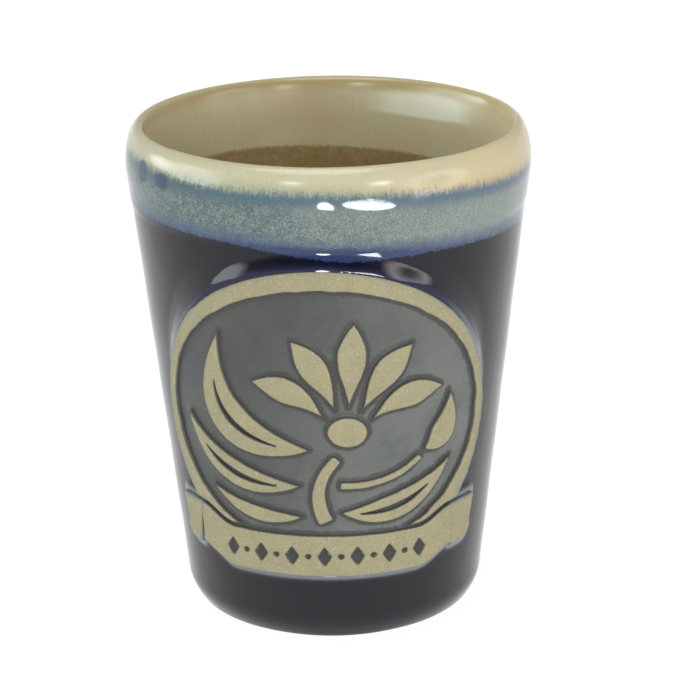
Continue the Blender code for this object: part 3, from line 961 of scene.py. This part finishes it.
def cobalt_coat(plaque, material):
    angles = columns()
    front = from_front(angles)[None, :]
    low, high = travel_outside(GLAZE_END), travel_outside(OUTER_DIP)
    crown = travel_outside(CROWN_FOOT)
    travels = np.concatenate([np.arange(high, crown, 0.13), np.arange(crown, low, 0.25), [low]])
    z = surface_at(travels)[1]
    lift, gap = bead_lift(angles, z, plaque)
    roll = bell(travels, low, 0.8)[:, None] * (0.10 + 0.04 * np.sin(5 * front + 1))
    lift = lift + out_of_round(front, z[:, None]) + roll
    edge_lifts = np.array([[0.07], [-0.07], [-0.25]]) + 0 * front
    travels = np.concatenate([travels, low + np.array([0.10, 0.16, 0.14])])
    lift = np.concatenate([lift, edge_lifts])
    glaze_coat("cobalt_glaze", travels, lift, np.linspace(low, high, 14), angles, material, gap)


def rim_coat(plaque, material):
    angles = columns()
    front = from_front(angles)[None, :]
    start, end = travel_outside(OUTER_DIP), travel_inside(INNER_DIP)
    travels = np.concatenate([np.arange(start, end, -0.2), [end]])
    z = surface_at(travels)[1]
    over_lip, above_edge = smooth_step(travels, -3.0, 3.0), smooth_step(start - travels, 0.0, 1.3)
    swell = 0.13 * np.where(travels < 3.0, over_lip, above_edge)[:, None] + front_swell(front, travels)
    uneven = out_of_round(front, z[:, None])
    bead = bead_lift(angles, z, plaque)[0] * smooth_step(travels, 3.0, 5.0)[:, None]
    lift = swell + bead + np.where(travels[:, None] > 0, uneven, -uneven)
    glaze_coat("rim_glaze", travels, lift, np.linspace(end, start, 16), angles, material)


def liner_coat(material):
    angles = np.linspace(0, 2 * math.pi, 200, endpoint=False)
    start, end = travel_inside(INNER_DIP), PROFILE_T[-1]
    travels = np.concatenate([np.arange(start, end, -0.6), [end]])[::-1]
    z = surface_at(travels)[1][:, None]
    fade = smooth_step(start - travels, 2, 8) * smooth_step(travels, end + 14, end + 24)
    throwing = 0.06 * np.sin(travels[:, None] * 0.9 + angles[None, :]) * fade[:, None]
    lift = throwing - out_of_round(from_front(angles)[None, :], z)
    back = np.linspace(start, end, 20)
    glaze_coat("liner_glaze", travels, lift, back, angles, material, on_axis=True)


def clay_cup(material):
    """The cup under the glaze. Only its foot and underside are bare."""
    angles = np.linspace(0, 2 * math.pi, 180, endpoint=False)
    top = travel_outside(FOOT_TOP)
    wall = np.linspace(top, PROFILE_T[-1], 110)[1:]
    r, z, n_r, n_z = surface_at(np.concatenate([np.linspace(PROFILE_T[0], top, 40), wall]))
    depth = (COAT + 0.05) * smooth_step(z, 0.0, GLAZE_END)
    skin = np.stack([np.maximum(r - depth * n_r, 0.0), z - depth * n_z], axis=1)
    recess_r, recess_d = FOOT_RECESS
    under = [(0.0, recess_d)]
    for share in np.linspace(0.06, 1, 26):
        under.append((share * (recess_r - 0.5), recess_d + 0.02 * math.sin(share * 34)))
    for a in np.linspace(0, math.pi / 2, 6)[1:]:
        under.append((recess_r - 0.5 + 0.9 * math.sin(a) * 0.6, recess_d * math.cos(a) ** 1.5))
    for share in np.linspace(0, 1, 10)[1:]:
        under.append((recess_r + 0.3 + (skin[0, 0] - 0.5 - recess_r) * share, 0.0))
    loop = np.concatenate([under, skin[1:]])
    loop[-1, 0] = 0.0
    radius, height = loop[:, :1] + 0 * angles, loop[:, 1:] + 0 * angles
    height += np.abs(0.012 * np.sin(9 * angles)) * (height < 2) * (radius > 8)
    rows = np.stack([radius * np.sin(angles), -radius * np.cos(angles), height], axis=2)
    turned("stoneware_cup", rows, {}, material, ["cup_body"])


def shoulder(edge, top, radius=0.36, drop=0.30):
    """Height of a relief's top: flat in the middle, rounded over at its edge."""
    share = 1 - np.clip(edge / radius, 0, 1)
    return top - drop * (1 - np.sqrt(np.maximum(1 - share ** 2.2, 0)))


def relief(name, outline, slits, clay, node, top=RELIEF_TOP, carve=(), stain=None):
    def heights(flat, edge, depth):
        crown = 0.05 * smooth_step(edge, 0.3, 2.0)
        lift = shoulder(edge, top + crown) + 0.018 * waves(flat[:, 0], flat[:, 1], 21, 3.4)
        lift = lift - 0.30 * smooth_step(depth, -0.06, 0.22)
        # The carved hollows are coloured near black in the clay's material
        carved_dark = smooth_step(depth, -0.05, 0.07)
        stains = stain(flat) if stain else np.zeros(len(flat))
        return lift, {"carved_dark": carved_dark, "stain": stains}

    slab(name, node, [outline], slits, heights, RELIEF_BASE, clay, carve=carve)


def plaque_slab(plaque, clay):
    base, top = PLAQUE_SPAN

    def heights(flat, edge, depth):
        zeros = np.zeros(len(flat))
        return zeros + top, {"carved_dark": zeros, "stain": zeros + 1}

    add = [grow(o, -0.12) for o in plaque]
    slab("medallion_plaque_clay", "medallion_plaque", add, [], heights, base, clay, 2.0, (0.3,))


def ground_slab(inner, shapes, banner, tails, glaze):
    """The glaze lies over the whole plaque, under the relief, and shows in the ground and grooves."""
    step = 0.2
    outer, _ = ring_outlines()
    footprint = [grow(outer, -0.55), grow(banner, -0.5), *[grow(o, -0.5) for o in tails.values()]]
    footprint.append(np.array(GROUND_BEHIND_RIBBON))
    xs, ys = np.arange(-22, 22 + step, step), np.arange(-22, 21 + step, step)
    grid = np.stack(np.meshgrid(xs, ys), axis=2).reshape(-1, 2)
    within = outside_distance(grid, footprint) < 0
    raised = [o for o, _ in shapes.values()]
    slits = [slit for _, cuts in shapes.values() for slit in cuts]
    ring_zone = edge_distance(grid, [inner, banner, *tails.values(), *raised, *slits])
    under = np.zeros(len(grid), bool)
    for outline in [*raised, banner, *tails.values()]:
        under |= is_inside(grid, outline)
    for slit in slits:
        under &= ~is_inside(grid, slit)
    under |= ~is_inside(grid, inner) & (grid[:, 1] > -13)
    edge = np.where(under, 0.0, ring_zone)
    lift = GROUND_LEVEL + 0.09 * bell(edge, 0, 0.28) + 0.03 * waves(*grid.T, 31, 12.0)
    lift -= 0.05 * smooth_step(edge, 0.3, 1.2)
    width = len(xs)
    corner = np.array([(j * width + i) for j in range(len(ys) - 1) for i in range(width - 1)])
    cells = np.stack([corner, corner + 1, corner + 1 + width, corner + width], axis=1)
    cells = cells[within[cells].all(axis=1)]
    used, inverse = np.unique(cells, return_inverse=True)
    cells = inverse.reshape(cells.shape)
    flat, lift, edge = grid[used], lift[used], edge[used]
    count = len(flat)
    space = np.concatenate([lay_on_wall(flat, lift), lay_on_wall(flat, np.full(count, GROUND_BASE))])
    # The second attribute steers a painted sheen across the ground, growing to the right and downward
    values = {"edge_mm": np.tile(edge, 2), "painted_sheen_mm": np.tile(flat @ np.array([0.85, -0.45]), 2)}
    solid = boxed(cells.tolist(), count)
    nodes = ["medallion_ground_glaze"]
    make_object("medallion_ground", space, solid, values, glaze, nodes, GROUND_SHARP)


def build_medallion(clay, glaze):
    outer, inner = ring_outlines()
    banner = ribbon()
    tails = {"ribbon_tail_left": tail(-1), "ribbon_tail_right": tail(1)}
    folds = [banner, *tails.values()]
    plaque = [outer, *[grow(o, 0.1) for o in folds], np.array(BEHIND_RIBBON)]
    plaque_slab([outer, *[grow(o, 0.35) for o in folds]], clay)

    def outer_stain(flat):
        gap = -outside_distance(flat, plaque)
        side = smooth_step(np.abs(flat[:, 0]), 11, 19)
        return smooth_step(gap, 0.55 + 0.15 * side, 0.05) * (0.55 + 0.4 * side)

    inside = [hand_cut(inner, 0.13), *[grow(o, GROOVE) for o in folds]]
    relief("ring_clay", hand_cut(outer, 0.15), inside, clay, "medallion_ring", stain=outer_stain)
    pattern = ribbon_ornament()
    relief("ribbon_clay", hand_cut(banner), [], clay, "ribbon_banner", carve=pattern, stain=outer_stain)
    for name, outline in tails.items():
        relief(name + "_clay", hand_cut(outline), [], clay, name, top=TAIL_TOP_LIFT, stain=outer_stain)
    shapes = {}
    for name, (outline, slits) in emblem().items():
        shapes[name] = (hand_cut(outline), [hand_cut(slit, 0.03) for slit in slits])
        relief(name + "_clay", *shapes[name], clay, name)
    ground_slab(inner, shapes, banner, tails, glaze)
    return plaque


# ---------------------------------------------------------------- stage

CAMERA_DISTANCE = 330.7
CAMERA_HEIGHT = 145.2
CAMERA_AIM = (2.37, 33.05)
CAMERA_ROLL = -0.0131
CAMERA_LENS = 139.93


def turned_with_view(x, y, z):
    c, s = math.cos(VIEW_TURN), math.sin(VIEW_TURN)
    return Vector((x * c - y * s, x * s + y * c, z)) * MM


def camera():
    data = bpy.data.cameras.new("camera")
    data.lens = CAMERA_LENS
    data.sensor_width = 36.0
    data.clip_start, data.clip_end = 0.01, 20.0
    obj = in_scene("camera", data)
    place = turned_with_view(0, -CAMERA_DISTANCE, CAMERA_HEIGHT)
    aim = turned_with_view(CAMERA_AIM[0], 0, CAMERA_AIM[1])
    back = (place - aim).normalized()
    right = Vector((0, 0, 1)).cross(back).normalized()
    up = back.cross(right)
    c, s = math.cos(CAMERA_ROLL), math.sin(CAMERA_ROLL)
    right, up = right * c + up * s, up * c - right * s
    obj.matrix_world = Matrix.Translation(place) @ Matrix((right, up, back)).transposed().to_4x4()
    bpy.context.scene.camera = obj


SOFT_LIGHTS = (  # (azimuth, elevation, half width, half height, degrees), colour, whether it is a ring
    ((66, 9, 17, 12), (5.2, 4.7, 4.85), True),
    ((-80, 10, 17, 15), (4.2, 4.5, 4.8), False),
    ((-106, 9, 9, 7), (7.0, 7.3, 7.3), False),
)


def lamp(name, azimuth, elevation, distance, size_degrees, radiance):
    """A lamp seen from the cup's rim at an azimuth (degrees, 0 in front, + to the right) and elevation."""
    aim = Vector((0, -0.020, 0.059))
    place = aim + direction(azimuth, elevation) * distance
    wide, tall = [2 * distance * math.tan(math.radians(d) / 2) for d in size_degrees]
    data = bpy.data.lights.new(name, "AREA")
    data.shape = "ELLIPSE"
    data.size, data.size_y = wide, tall
    data.energy = radiance * math.pi * wide * tall * math.pi / 4
    obj = in_scene(name, data)
    obj.location = place
    obj.rotation_mode = "QUATERNION"
    obj.rotation_quaternion = (place - aim).to_track_quat("Z", "Y")


def lamps():
    lamp("overhead_softbox", -15, 74, 0.7, (50, 44), 4.2)
    lamp("key_strip", 25, -2, 0.45, (30, 6), 24.0)
    lamp("key_spot", 0, -6, 0.45, (9, 9), 30.0)
    lamp("lip_spot_left", -19, 22, 0.6, (10, 4), 30.0)
    lamp("lip_spot_right", 33, 18, 0.6, (12, 4), 30.0)


def direction(azimuth, elevation):
    a, e = math.radians(azimuth), math.radians(elevation)
    return Vector((math.sin(a) * math.cos(e), -math.cos(a) * math.cos(e), math.sin(e)))


def soft_light(nodes, way, azimuth, elevation, half_width, half_height, hollow):
    """A soft-edged patch or ring of light round one direction, 0 to 1. Half sizes are in degrees."""
    axis = direction(azimuth, elevation)
    right = axis.cross(Vector((0, 0, 1))).normalized()
    up = right.cross(axis)
    share = 0.0
    for side, half in ((right, half_width), (up, half_height)):
        offset = nodes.math("DIVIDE", nodes.dot(way, side), math.sin(math.radians(half)))
        share = nodes.plus(share, nodes.times(offset, offset))
    reach = nodes.math("SQRT", share)
    ahead = nodes.math("GREATER_THAN", nodes.dot(way, axis), 0.0)
    light = nodes.times(nodes.ramp(reach, 1.45, 0.85), ahead)
    return nodes.times(light, nodes.ramp(reach, 0.30, 0.95)) if hollow else light


def world():
    """A white tent, dimmer overhead, with soft windows on the left and a soft ring on the right."""
    made = bpy.data.worlds.new("tent")
    bpy.context.scene.world = made
    made.use_nodes = True
    nodes = Nodes(made.node_tree)
    way = nodes.node("ShaderNodeTexCoord").outputs["Generated"]
    separate = nodes.node("ShaderNodeSeparateXYZ")
    nodes.put(separate.inputs[0], way)
    front = nodes.node("ShaderNodeValToRGB")
    nodes.put(front.inputs["Fac"], separate.outputs["Z"])
    stops = front.color_ramp.elements
    stops[0].position, stops[0].color = 0.03, (1, 1, 1, 1)
    stops[1].position, stops[1].color = 0.80, (0.10, 0.105, 0.115, 1)
    for position, level in ((0.09, 0.55), (0.20, 0.14)):
        stop = stops.new(position)
        stop.color = (level, level, level, 1)
    walls = nodes.ramp(separate.outputs["Z"], 0.02, 0.12, 1.0, 0.5)
    behind = nodes.ramp(separate.outputs["Y"], -0.15, 0.40)
    tent = nodes.mix(behind, front.outputs["Color"], walls)
    for spot, colour, hollow in SOFT_LIGHTS:
        tent = nodes.mix(soft_light(nodes, way, *spot, hollow), tent, colour)
    nodes.put(made.node_tree.nodes["Background"].inputs["Color"], tent)


def floor():
    half_side, just_below = 3.0, -2e-5
    mesh = bpy.data.meshes.new("floor")
    corners = [(x * half_side, y * half_side, just_below) for x, y in ((-1, -1), (1, -1), (1, 1), (-1, 1))]
    mesh.from_pydata(corners, [], [(0, 1, 2, 3)])
    obj = in_scene("floor", mesh)
    s = Shader("pale_floor")
    tone = s.mix(s.ramp(s.noise(0.02, 2.0), 0.3, 0.7), (0.14, 0.14, 0.14), (0.15, 0.15, 0.15))
    s.bsdf.inputs["Emission Color"].default_value = (1, 1, 1, 1)
    s.bsdf.inputs["Emission Strength"].default_value = 0.93
    mesh.materials.append(s.finish(tone, 0.9, specular=0.0))


def main():
    bpy.context.scene.view_settings.view_transform = "Standard"
    glaze = cup_glaze()
    clay = bare_clay("bare_clay", (0.215, 0.196, 0.116), (0.296, 0.272, 0.162), True)
    plaque = build_medallion(clay, ground_glaze())
    cobalt_coat(plaque, glaze)
    rim_coat(plaque, glaze)
    liner_coat(glaze)
    clay_cup(bare_clay("foot_clay", (0.27, 0.23, 0.15), (0.36, 0.31, 0.20), False))
    world()
    floor()
    lamps()
    camera()


main()
